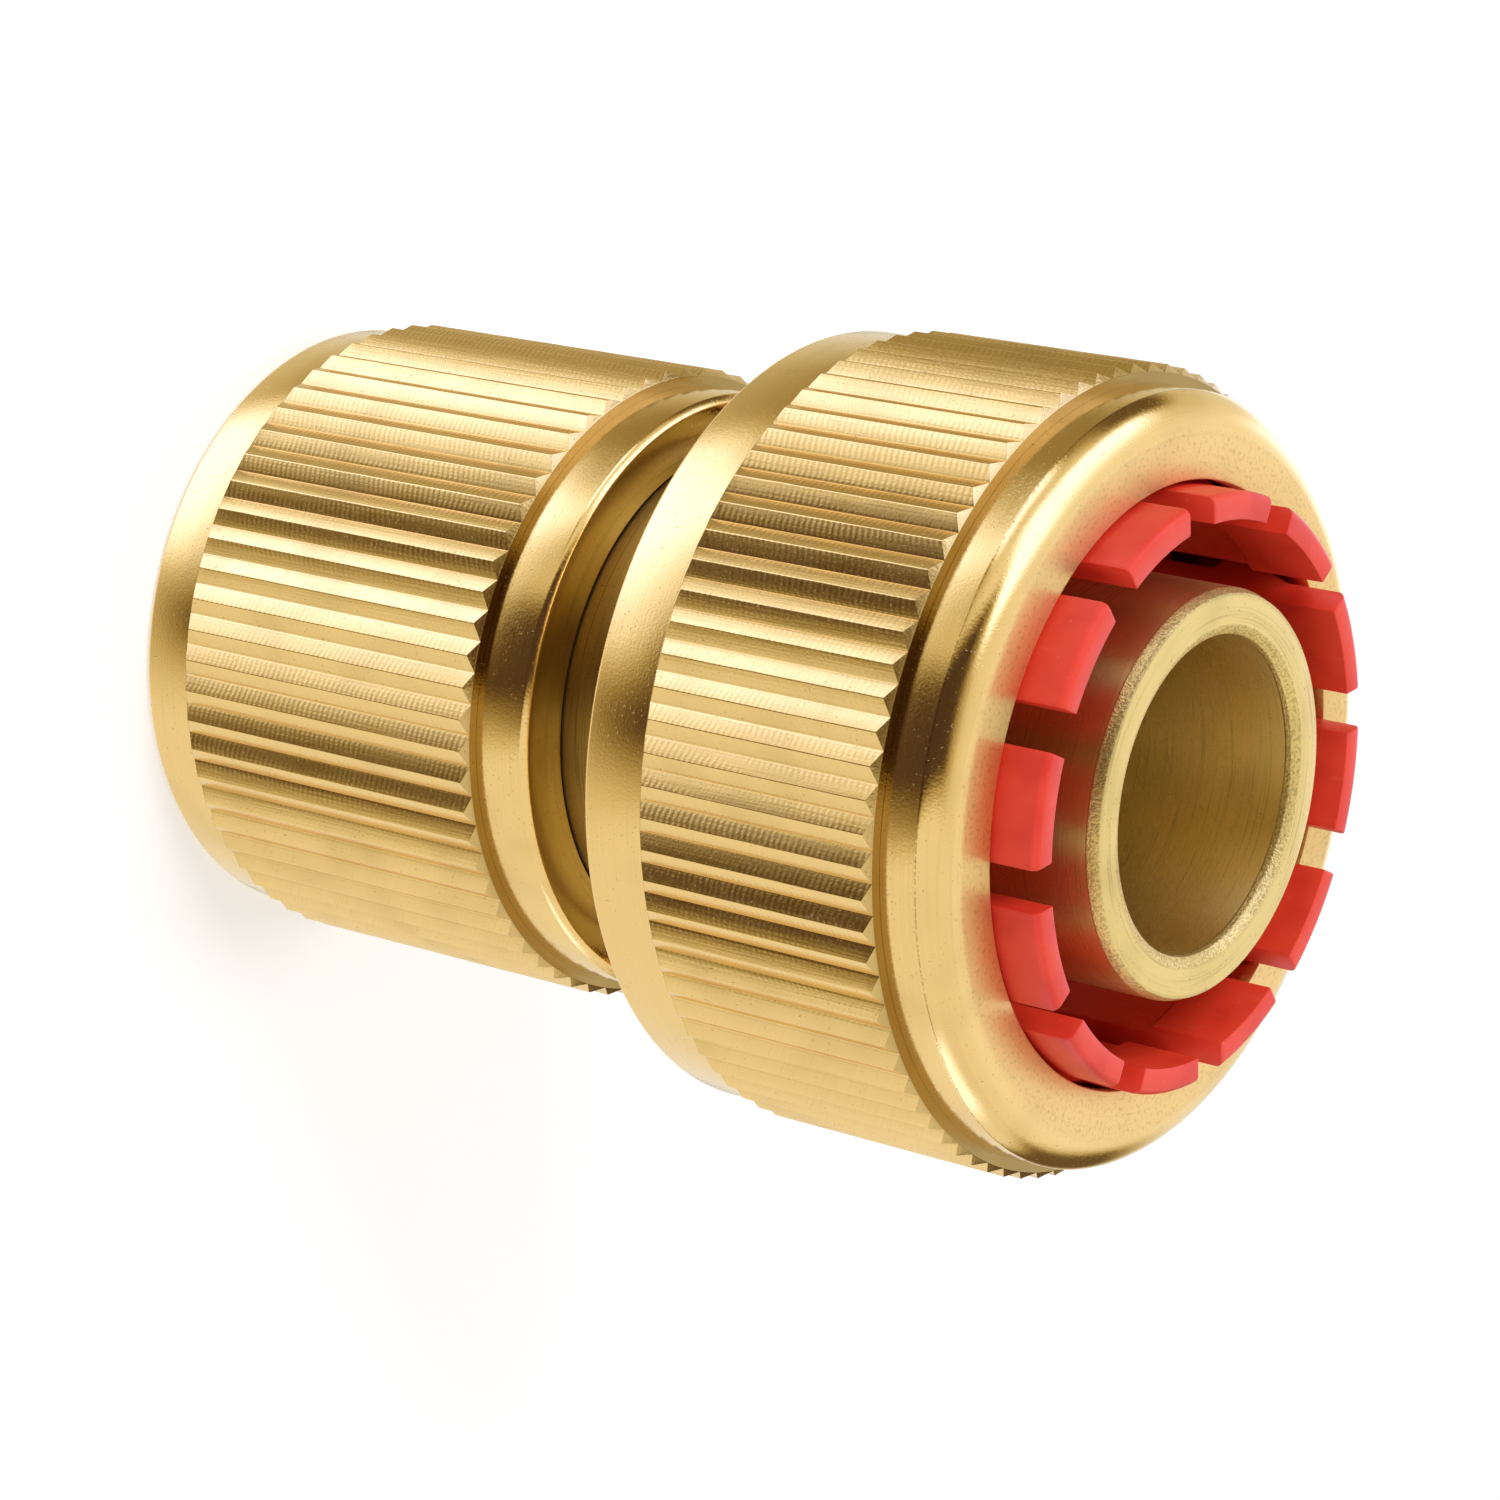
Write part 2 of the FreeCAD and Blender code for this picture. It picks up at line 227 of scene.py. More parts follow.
    def modify(self, kind: str, **settings: object) -> None:
        """Put one modifier on the piece and apply it.

        Args:
            kind: The modifier's type.
            **settings: Its settings by name.
        """
        modifier = self.piece.modifiers.new(kind.title(), kind)
        for name, value in settings.items():
            setattr(modifier, name, value)
        self.take()
        bpy.ops.object.modifier_apply(modifier=modifier.name)

    def combine(self, tool: "Work", joining: Joining) -> None:
        """Add a second solid to the piece or cut it out, and remove the second.

        Args:
            tool: The solid that is used up.
            joining: Whether it is added or cut.
        """
        self.modify("BOOLEAN", operation=joining.value, object=tool.piece, solver="EXACT")
        bpy.data.objects.remove(tool.piece)

    def slice_off(self, point: Vector, outwards: Vector, part: Place | None = None) -> None:
        """Cut the solid by a plane, drop what is beyond it and close the cut.

        Args:
            point: A point of the plane, in metres.
            outwards: The direction of what is dropped.
            part: Which part of the solid is cut, if not all of it.
        """
        self.edit()
        if part is not None:
            self.pick_points(part)
        bpy.ops.mesh.bisect(plane_co=point, plane_no=outwards, use_fill=True, clear_outer=True,
                            threshold=TINY)
        self.clear()

    def repeat_round(self, count: int) -> None:
        """Copy the piece evenly round the axis and join the copies to it.

        Args:
            count: How many there are in the end.
        """
        copies = []
        for index in range(1, count):
            copy = self.piece.copy()
            copy.data = self.piece.data.copy()
            copy.data.transform(Matrix.Rotation(math.tau * index / count, 4, "Z"))
            bpy.context.scene.collection.objects.link(copy)
            copies.append(copy)
        self.take()
        for copy in copies:
            copy.select_set(True)
        bpy.ops.object.join()

    def smooth(self, degrees: float = 30.0) -> None:
        """Shade the piece smooth, with its sharp edges kept.

        Args:
            degrees: The angle from which an edge is sharp.
        """
        self.take()
        bpy.ops.object.shade_smooth_by_angle(angle=math.radians(degrees))
        self.clear()

    def hand_over(self, material: bpy.types.Material, part: Part) -> None:
        """Give the finished piece its material, its body and the solid that it stands for.

        Args:
            material: Its material.
            part: Which of the connector's parts it is.
        """
        body, slot, node = part.value
        piece = self.piece
        piece.data.materials.clear()
        piece.data.materials.append(material)
        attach(piece, body)
        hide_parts(node)
        LOG.info("%s: %d faces, on %s", piece.name, len(piece.data.polygons), body)


def radius_of(place: Vector) -> float:
    """Distance of a place from the connector's axis, in metres."""
    return math.hypot(place.x, place.y)


def arc_corners(start: Corner, bulge: float, end: Corner, count: int) -> list[Corner]:
    """The corners of a shallow arc between two corners of an outline.

    Args:
        start: Where the arc starts.
        bulge: How far its middle lies outwards of the chord's middle, in radius and in height.
        end: Where it ends.
        count: How many corners lie between them.

    Returns:
        The corners between start and end.
    """
    corners = []
    for index in range(1, count + 1):
        share = index / (count + 1)
        lift = 4 * share * (1 - share) * bulge
        corners.append(Corner(start.radius + (end.radius - start.radius) * share + lift,
                              start.height + (end.height - start.height) * share + lift))
    return corners


# ---------------------------------------------------------------- materials


def maths(operation: str) -> Callable[..., "Number"]:
    """Make a method of Number that adds one Math node.

    Args:
        operation: The node's operation on the number and the method's arguments.

    Returns:
        The method. It gives the node's result.
    """

    def method(number: "Number", *others: "Number | float") -> "Number":
        """Add the node.

        Args:
            number: Its first value.
            *others: Its further values.

        Returns:
            Its result.
        """
        sockets = dict(enumerate((number, *others)))
        node = number.desk.add("ShaderNodeMath", {"operation": operation}, sockets)
        return Number(number.desk, node.outputs[0])

    return method


class Number:
    """A number that varies over a surface. Arithmetic on it adds Math nodes."""

    __add__ = __radd__ = maths("ADD")
    __mul__ = __rmul__ = maths("MULTIPLY")
    __sub__ = maths("SUBTRACT")
    __truediv__ = maths("DIVIDE")
    __pow__ = maths("POWER")
    sine = maths("SINE")
    size = maths("ABSOLUTE")
    at_least = maths("MAXIMUM")

    def __init__(self, desk: "Desk", socket: Socket) -> None:
        """Wrap a socket of a desk's node tree."""
        self.desk = desk
        self.socket = socket

    def __rsub__(self, other: float) -> "Number":
        """A plain number less this one."""
        return self * -1.0 + other

    def between(self, low: float, high: float, edge: float) -> "Number":
        """A mask that is 1 between two values and fades out over an edge.

        Args:
            low: Where the mask begins.
            high: Where it ends.
            edge: The width of each fade, inside the mask.

        Returns:
            The mask, from 0 to 1.
        """
        return self.ramp(low, low + edge) * self.ramp(high, high - edge)

    def ramp(self, start: float, end: float) -> "Number":
        """A smooth step from 0 at start to 1 at end.

        Args:
            start: Where the step begins.
            end: Where it is full. It may be the smaller.

        Returns:
            The step, from 0 to 1.
        """
        low, high = sorted((start, end))
        rising = float(start < end)
        node = self.desk.add("ShaderNodeMapRange", {"interpolation_type": "SMOOTHSTEP"},
                             {"Value": self, "From Min": low, "From Max": high,
                              "To Min": 1.0 - rising, "To Max": rising})
        return Number(self.desk, node.outputs[0])


class Desk:
    """A node tree that is filled node by node."""

    def __init__(self, tree: bpy.types.NodeTree) -> None:
        """Start on an empty tree."""
        self.tree = tree
        tree.nodes.clear()

    def add(self, kind: str, settings: dict[str, object] | None = None,
            sockets: dict[str | int, object] | None = None) -> bpy.types.Node:
        """Add a node.

        Args:
            kind: The node's type.
            settings: Its own settings, set first.
            sockets: The values or links of its inputs, by name or number.

        Returns:
            The new node.
        """
        node = self.tree.nodes.new(kind)
        for name, value in (settings or {}).items():
            setattr(node, name, value)
        for name, value in (sockets or {}).items():
            source = value.socket if isinstance(value, Number) else value
            if isinstance(source, Socket):
                self.tree.links.new(source, node.inputs[name])
            else:
                node.inputs[name].default_value = source
        return node

    def place(self) -> tuple[Socket, Number, Number, Number]:
        """Find the place on the object.

        Returns:
            The place, and its three coordinates in metres.
        """
        spot = self.add("ShaderNodeTexCoord").outputs["Object"]
        parts = self.add("ShaderNodeSeparateXYZ", sockets={"Vector": spot}).outputs
        return spot, Number(self, parts[0]), Number(self, parts[1]), Number(self, parts[2])

    def noise(self, where: Socket, scale: float, detail: float = 2.0,
              roughness: float = 0.5) -> Number:
        """A soft random pattern from 0 to 1.

        Args:
            where: The coordinates that it follows.
            scale: How many features there are to a unit of them.
            detail: How many finer layers it has.
            roughness: How strong the finer layers are.

        Returns:
            The pattern.
        """
        node = self.add("ShaderNodeTexNoise", {"noise_dimensions": "3D"},
                        {"Vector": where, "Scale": scale, "Detail": detail, "Roughness": roughness})
        return Number(self, node.outputs[0])

    def vector(self, x: Number | float, y: Number | float, z: Number | float) -> Socket:
        """Three numbers as a vector."""
        return self.add("ShaderNodeCombineXYZ", sockets={0: x, 1: y, 2: z}).outputs[0]

    def mixed(self, first: Colour | Socket, second: Colour | Socket,
              mask: Number) -> Socket:
        """Go from one colour to another.

        Args:
            first: The colour where the mask is 0.
            second: The colour where the mask is 1.
            mask: Where each of them shows.

        Returns:
            The mixed colour.
        """
        values = [(*c, 1.0) if isinstance(c, tuple) else c for c in (first, second)]
        node = self.add("ShaderNodeMix", {"data_type": "RGBA"}, {0: mask, 6: values[0], 7: values[1]})
        return node.outputs[2]

    def bumped(self, height: Number, distance: float) -> Socket:
        """A normal that follows a height.

        Args:
            height: The height, in units of the distance.
            distance: One unit, in metres.

        Returns:
            The normal.
        """
        return self.add("ShaderNodeBump", sockets={"Strength": 1.0, "Distance": distance,
                                                   "Height": height}).outputs[0]

    def surface(self, sockets: dict[str, object]) -> None:
        """Finish a material with one Principled shader.

        Args:
            sockets: The values or links of the shader's inputs.
        """
        shader = self.add("ShaderNodeBsdfPrincipled", sockets=sockets)
        self.add("ShaderNodeOutputMaterial", sockets={"Surface": shader.outputs[0]})


def new_material(name: str) -> tuple[bpy.types.Material, Desk]:
    """Make an empty material.

    Args:
        name: Its name.

    Returns:
        The material and the desk of its nodes.
    """
    material = bpy.data.materials.new(name)
    material.use_nodes = True
    return material, Desk(material.node_tree)


@dataclass(frozen=True)
class Knurl:
    """Straight knurling, the marks that its tool leaves on the ridges, and painted shade in its roots,
    partly dirt, and at its ends, in millimetres.

    The ticks across the ridges are as deep as tick_depth micrometres. The two scales say how often
    their noises change to a metre, round the connector and along it.
    """

    low: float
    high: float
    root: float
    tip: float
    teeth: int
    phase: float
    rows: int = 14
    chamfer: float = 0.35
    crest: float = 0.045
    lip: float = 0.01
    wander: float = 0.012
    tick_pitch: float = 0.32
    tick_depth: float = 3.2
    tooth_scale: tuple[float, float] = (1100.0, 160.0)
    streak_scale: tuple[float, float] = (9000.0, 250.0)

    def corners(self) -> list[Corner]:
        """Lay out the knurl's part of an outline.

        Returns:
            The corners along the roots, from low to high.
        """
        start, end = self.low + 2 * self.chamfer, self.high - 2 * self.chamfer
        heights = [self.low, self.low + self.lip,
                   *(start + (end - start) * row / self.rows for row in range(self.rows + 1)),
                   self.high - self.lip, self.high]
        return [Corner(self.root, height) for height in heights]

    def shell(self, name: str, corners: Sequence[Corner]) -> Work:
        """Turn a shell and raise the ridges on it.

        Args:
            name: The new object's name.
            corners: Its outline, with the knurl's corners in it.

        Returns:
            The knurled shell.
        """
        piece = Work.draw(name, corners)
        piece.turn(2 * self.teeth)
        self.raise_ridges(piece)
        piece.smooth()
        return piece

    def raise_ridges(self, piece: Work) -> None:
        """Pull every second column of the turned surface out to the ridges, and slant their ends.

        Args:
            piece: The turned surface, with two columns to a tooth.
        """
        low, high, root, tip = (value * MM for value in (self.low, self.high, self.root, self.tip))

        def on_ridge(place: Vector) -> bool:
            """Find the root corners of the odd columns, short of the knurl's ends.

            Args:
                place: The corner's place, in metres.

            Returns:
                Whether it is one of them.
            """
            if abs(radius_of(place) - root) > TINY or not low + TINY < place.z < high - TINY:
                return False
            column = math.degrees(math.atan2(place.y, place.x)) * self.teeth / 180
            return round(column) % 2 == 1

        piece.edit(everything=False)
        piece.pick_points(on_ridge)
        bpy.ops.transform.resize(value=(tip / root, tip / root, 1), center_override=(0, 0, 0))
        middle, reach = (low + high) / 2, (high - low) / 2 - self.chamfer * MM
        piece.pick_points(lambda place: radius_of(place) > tip - TINY and abs(place.z - middle) < reach)
        bpy.ops.transform.vertex_random(offset=self.wander * MM, seed=self.teeth)
        for end, side in ((low, 1), (high, -1)):
            piece.pick_points(lambda place: (radius_of(place) > tip - TINY
                                             and abs(place.z - end) < 2 * self.lip * MM))
            bpy.ops.transform.translate(value=(0, 0, side * (self.chamfer - self.lip) * MM))
        piece.pick_edges(lambda place: radius_of(place) > tip - 2.5 * self.wander * MM)
        bpy.ops.mesh.bevel(offset=self.crest * MM, segments=2, affect="EDGES")
        piece.clear()
        piece.swing(self.phase)

    def ends(self, radius: Number, z: Number) -> Number:
        """How much painted shade lies on the slanted ends of the ridges and on the steps beyond them.

        Args:
            radius: The distance from the axis, in metres.
            z: The height, in metres.

        Returns:
            The painted shade, from 0 to 1.
        """
        slope = self.chamfer / (self.tip - self.root)
        rise = (radius - self.root * MM).at_least(0.0)
        # Painted shade, darkest at the roots' radius, on the steps.
        amount = rise.ramp(0.03 * MM, 0.0) * 0.55 + 0.4
        mask = None
        for end, side in ((self.low, 1.0), (self.high, -1.0)):
            inwards = (z - end * MM) * side
            slant = inwards - rise * slope
            part = slant.ramp(0.045 * MM, 0.02 * MM) * inwards.ramp(-0.03 * MM, -0.005 * MM)
            mask = part if mask is None else mask + part
        return mask * amount


@dataclass(frozen=True)
class RoughRim:
    """A rim whose chamfer was torn rather than cut, in millimetres and micrometres."""

    low: float
    inner: float
    outer: float
    depth: float = 45.0


@dataclass(frozen=True)
class HeightDarkening:
    """Brass that darkens from one height to another, the heights in millimetres."""

    bright: float
    dark_from: float
    amount: float


@dataclass(frozen=True)
class MattFace:
    """A face that was left matt and grainy, and a line of painted shade at its rounded edge's foot, in
    millimetres.
    """

    low: float
    high: float
    outer: float
    line: float
    roughness: float = 0.27
    depth: float = 9.0


@dataclass(frozen=True)
class TurnedBrass:
    """Bright brass from the lathe: turning lines, grain, faint stains, and specks.

    Sizes are in millimetres and depths in micrometres. Turns is how often a line changes to a radian.
    """

    name: str
    colour: Colour = (0.925, 0.650, 0.255)
    # Dark colour for stains, specks and turning lines, and also for the painted shade in knurl roots, at
    # knurl ends and along the nose's edge line.
    stain_and_shade: Colour = (0.400, 0.270, 0.085)
    roughness: float = 0.14
    line_pitch: float = 0.07
    line_depth: float = 1.2
    line_shade: float = 0.14
    turns: float = 1.4
    grain_size: float = 0.13
    stain_size: float = 4.0
    stretch: float = 0.7
    height_darkening: HeightDarkening | None = None
    knurl: Knurl | None = None
    rim: RoughRim | None = None
    face: MattFace | None = None

    def make(self) -> bpy.types.Material:
        """Build the material.

        Returns:
            The finished material.
        """
        material, desk = new_material(self.name)
        spot, x, y, z = desk.place()
        radius = (x * x + y * y) ** 0.5
        along = (radius + z) / (self.line_pitch * MM)
        turned = desk.vector(x / radius * self.turns, y / radius * self.turns, along)
        lines = desk.noise(turned, 1.0, 1.0, 0.65)
        grain = desk.noise(spot, 1 / (self.grain_size * MM), 0.0)
        stains = desk.noise(spot, 1 / (self.stain_size * MM), 1.0, 0.6)
        specks = grain.ramp(0.76, 0.84)
        height = lines * self.line_depth + grain * 2.6 - specks * 4.0
        rough = self.roughness + (lines - 0.5) * 0.12 + (stains - 0.5) * 0.1 + (grain - 0.5) * 0.12
        dark = stains.ramp(0.45, 0.85) * 0.2 + specks * 0.4 + lines.ramp(0.5, 0.85) * self.line_shade
        # The base colour darkens from one height to another.
        if self.height_darkening is not None:
            dark = dark + z.ramp(self.height_darkening.bright * MM, self.height_darkening.dark_from * MM) * self.height_darkening.amount
        if self.knurl is not None:
            knurl = self.knurl
            root, tip = knurl.root * MM, knurl.tip * MM
            zone = (z.between(knurl.low * MM, knurl.high * MM, 0.05 * MM)
                    * radius.ramp(root, root + 0.06 * MM))
            tooth, streaks = (desk.noise(desk.vector(x * wide, y * wide, z * long), 1.0, 0.0)
                              for wide, long in (knurl.tooth_scale, knurl.streak_scale))
            wave = z * (math.tau / (knurl.tick_pitch * MM)) + tooth * 6.0 + streaks * 1.5
            ticks = (wave.sine() + 1.0) * 0.5
            height = height + zone * (ticks * tooth.ramp(0.3, 0.6) + streaks * 1.2) * knurl.tick_depth
            # Painted shade, partly dirt: the knurl's colour darkens towards its roots, most in the
            # creases between the ridges.
            root_shade_and_dirt = radius.ramp(root + 0.09 * MM, root)
            dark = dark + zone * (radius.ramp(tip, root) * 0.1 + root_shade_and_dirt * 0.35)
            rough = rough + zone * 0.07
            # Painted shade on the slanted ends of the ridges and on the steps beyond them.
            dark = dark + knurl.ends(radius, z)
        if self.rim is not None:
            outer = radius.ramp((self.rim.outer - 0.12) * MM, (self.rim.outer + 0.02) * MM)
            inner = radius.ramp((self.rim.inner + 0.10) * MM, (self.rim.inner - 0.02) * MM)
            torn = z.ramp(self.rim.low * MM, (self.rim.low + 0.1) * MM) * (outer + inner)
            pits = desk.noise(spot, 1 / (0.17 * MM), 1.0, 0.8)
            height = height + torn * pits * self.rim.depth
            rough = rough + torn * 0.1
            dark = dark + torn * pits.ramp(0.52, 0.42) * 0.35
        if self.face is not None:
            matt = z.ramp(self.face.low * MM, self.face.high * MM) * radius.ramp(
                (self.face.outer + 0.5) * MM, (self.face.outer - 0.2) * MM)
            sand = desk.noise(spot, 1 / (0.24 * MM), 1.0, 0.6)
            height = height + matt * sand * self.face.depth
            rough = rough + matt * self.face.roughness
            # Painted shade: a broken dark line along the foot of the rounded edge.
            line = (z - self.face.line * MM).size().ramp(0.05 * MM, 0.02 * MM)
            dark = dark + matt * sand.ramp(0.52, 0.72) * 0.28 + line * grain.ramp(0.3, 0.5) * 0.6
        desk.surface({
            "Base Color": desk.mixed(self.colour, self.stain_and_shade, dark),
            "Metallic": 1.0,
            "Roughness": rough.at_least(0.06),
            "Anisotropic": self.stretch,
            "Anisotropic Rotation": 0.25,
            "Normal": desk.bumped(height, MICRON),
        })
        return material


@dataclass(frozen=True)
class MouldedPlastic:
    """Red moulded plastic with a satin skin and a few pale specks."""

    name: str
    colour: Colour = (0.79, 0.050, 0.022)
    deep: Colour = (0.70, 0.034, 0.016)
    pale: Colour = (0.83, 0.120, 0.080)
    roughness: float = 0.42

    def make(self) -> bpy.types.Material:
        """Build the material.

        Returns:
            The finished material.
        """
        material, desk = new_material(self.name)
        spot, x, y, z = desk.place()
        cloud = desk.noise(spot, 1 / (2.5 * MM), 1.0)
        grain = desk.noise(spot, 1 / (0.12 * MM), 1.0, 0.65)
        scratch = desk.noise(desk.vector(x * 2500.0, y * 2500.0, z * 350.0), 1.0, 1.0)
        specks = desk.noise(spot, 1 / (0.3 * MM), 1.0).ramp(0.72, 0.8)
        colour = desk.mixed(self.deep, self.colour, cloud.ramp(0.3, 0.6))
        colour = desk.mixed(colour, self.pale, specks * 0.6 + scratch.ramp(0.6, 0.85) * 0.25)
        desk.surface({
            "Base Color": colour,
            "Roughness": self.roughness + (grain - 0.5) * 0.2,
            "IOR": 1.5,
            "Normal": desk.bumped(grain * 2.5 + cloud * 14.0 + scratch * 1.5, MICRON),
        })
        return material


@dataclass(frozen=True)
class DrawnSteel:
    """Bright steel with drawing lines."""

    name: str
    colour: Colour = (0.60, 0.60, 0.61)
    roughness: float = 0.25
    line_depth: float = 0.4

    def make(self) -> bpy.types.Material:
        """Build the material.

        Returns:
            The finished material.
        """
        material, desk = new_material(self.name)
        spot, x, y, z = desk.place()
        lines = desk.noise(desk.vector(x * 400.0, y * 400.0, z * 12000.0), 1.0, 3.0, 0.6)
        stains = desk.noise(spot, 1 / (1.5 * MM), 3.0)
        shade = tuple(part * 0.7 for part in self.colour)
        desk.surface({
            "Base Color": desk.mixed(self.colour, shade, stains.ramp(0.4, 0.8) * 0.5),
            "Metallic": 1.0,
            "Roughness": self.roughness + (stains - 0.5) * 0.15,
            "Normal": desk.bumped(lines * self.line_depth, MICRON),
        })
        return material


# ---------------------------------------------------------------- the connector's pieces


@dataclass
class ReleaseSleeve:
    """The knurled sleeve that is pulled back to free the plug, sizes in millimetres."""

    length: float = 24.63
    pocket_r: float = 13.4
    pocket_end: float = 2.5
    end_band_r: float = 15.28
    rear_band_r: float = 15.06
    bore_r: float = 12.38
    ledge_r: float = 10.88
    ledge_low: float = 8.85
    ledge_high: float = 10.35
    ramp_low_r: float = 12.775
    ramp_high_r: float = 11.909
    edge: float = 0.3
    knurl: Knurl = field(default_factory=lambda: Knurl(3.1, 21.6, 15.55, 15.95, 64, -0.6))

    def outline(self) -> list[Corner]:
        """Lay out the sleeve's section.

        Returns:
            The corners, from the mouth outside to the pocket inside.
        """
        soft = 0.08
        return [
            Corner(self.pocket_r, 0, soft),
            Corner(self.end_band_r - self.edge, 0, soft),
            Corner(self.end_band_r, self.edge, soft),
            Corner(self.end_band_r, self.knurl.low),
            *self.knurl.corners(),
            Corner(self.rear_band_r, self.knurl.high),
            Corner(self.rear_band_r, self.length - self.edge, soft),
            Corner(self.rear_band_r - self.edge, self.length, soft),
            Corner(self.bore_r, self.length, soft),
            Corner(self.bore_r, self.ledge_high),
            Corner(self.ledge_r, self.ledge_high, soft),
            Corner(self.ledge_r, self.ledge_low, soft),
            Corner(self.ramp_high_r, self.ledge_low),
            Corner(self.ramp_low_r, self.pocket_end),
            Corner(self.pocket_r, self.pocket_end),
        ]

    def build(self) -> None:
        """Model, dress and place the sleeve."""
        piece = self.knurl.shell("sleeve_shell", self.outline())
        piece.hand_over(TurnedBrass("sleeve_brass_turned", knurl=self.knurl).make(), Part.SLEEVE)


@dataclass
class ClampNut:
    """The knurled nut whose cone squeezes the collet, sizes in millimetres."""

    low: float = 31.2
    face: float = 50.85
    rear_band_r: float = 19.0
    front_band_r: float = 18.5
    nose_low: float = 49.6
    nose_r: float = 16.7
    nose_bulge: float = 0.22
    opening_r: float = 14.45
    opening_low: float = 49.9
    bore_r: float = 16.38
    cone_low: float = 44.8
    edge: float = 0.3
    knurl: Knurl = field(default_factory=lambda: Knurl(34.7, 47.7, 19.05, 19.45, 80, -1.6, rows=10))

    def outline(self) -> list[Corner]:
        """Lay out the nut's section.

        Returns:
            The corners, from the rear outside to the bore inside.
        """
        soft = 0.08
        nose_start = Corner(self.front_band_r, self.nose_low, soft)
        nose_end = Corner(self.nose_r, self.face, soft)
        return [
            Corner(self.bore_r + self.edge, self.low),
            Corner(self.rear_band_r - self.edge, self.low, soft),
            Corner(self.rear_band_r, self.low + self.edge, soft),
            Corner(self.rear_band_r, self.knurl.low),
            *self.knurl.corners(),
            Corner(self.front_band_r, self.knurl.high),
            nose_start,
            *arc_corners(nose_start, self.nose_bulge, nose_end, 7),
            nose_end,
            Corner(self.opening_r, self.face, 0.12),
            Corner(self.opening_r, self.opening_low),
            Corner(self.bore_r, self.cone_low),
            Corner(self.bore_r, self.low + self.edge),
        ]

    def build(self) -> None:
        """Model, dress and place the nut."""
        face = MattFace(self.nose_low + 0.3, self.face - 0.3, self.nose_r, self.nose_low)
        piece = self.knurl.shell("nut_shell", self.outline())
        piece.hand_over(TurnedBrass("nut_brass_turned", knurl=self.knurl, face=face).make(), Part.NUT)


@dataclass
class HoseCollet:
    """The plastic ring with twelve fingers round the stem, sizes in millimetres."""

    fingers: int = 12
    phase: float = 9.05
    gap: float = 2.0
    ring_low: float = 39.7
    ring_high: float = 42.2
    ring_bore_r: float = 12.4
    ring_r: float = 15.7
    shank_r: float = 14.35
    relief_r: float = 13.25
    inner_r: float = 12.9
    outer_r: float = 14.2
    head_r: float = 15.6
    head_low: float = 46.2
    head_high: float = 49.9
    tip: float = 53.1
    pad_low: float = 48.8
    rooted: float = 1.0

    def finger(self) -> Work:
        """One finger, bevelled, pointing along +X.

        Returns:
            The finger as a closed solid.
        """
        foot = self.ring_high - self.rooted
        piece = Work.draw("collet_moulding", [
            Corner(self.relief_r, foot),
            Corner(self.shank_r, foot),
            Corner(self.shank_r, self.head_low - (self.head_r - self.shank_r) / 2),
            Corner(self.head_r, self.head_low, 0.2),
            Corner(self.outer_r, self.head_high),
            Corner(self.outer_r, self.tip, 0.38, 5),
            Corner(self.inner_r, self.tip),
            Corner(self.inner_r, self.pad_low + self.relief_r - self.inner_r),
            Corner(self.relief_r, self.pad_low),
        ])
        sector = 360 / self.fingers
        piece.swing(-sector / 2)
        piece.turn(12, sector)
        for side in (-1, 1):
            angle = math.radians(side * sector / 2)
            outwards = Vector((-math.sin(angle), math.cos(angle), 0)) * side
            piece.slice_off(outwards * (-self.gap / 2 * MM), outwards)
        piece.close()
        piece.modify("BEVEL", width=0.09 * MM, segments=2, limit_method="ANGLE",
                     angle_limit=math.radians(40))
        return piece

    def build(self) -> None:
        """Model, dress and place the collet."""
        piece = self.finger()
        piece.repeat_round(self.fingers)
        piece.swing(self.phase)
        ring = Work.draw("collet_ring", [
            Corner(self.ring_bore_r, self.ring_low, 0.2),
            Corner(self.ring_r, self.ring_low, 0.2),
            Corner(self.ring_r, self.ring_high, 0.2),
            Corner(self.ring_bore_r, self.ring_high, 0.2),
        ])
        ring.turn(120)
        piece.combine(ring, Joining.ADD)
        piece.smooth(35)
        piece.hand_over(MouldedPlastic("collet_red_plastic").make(), Part.COLLET)


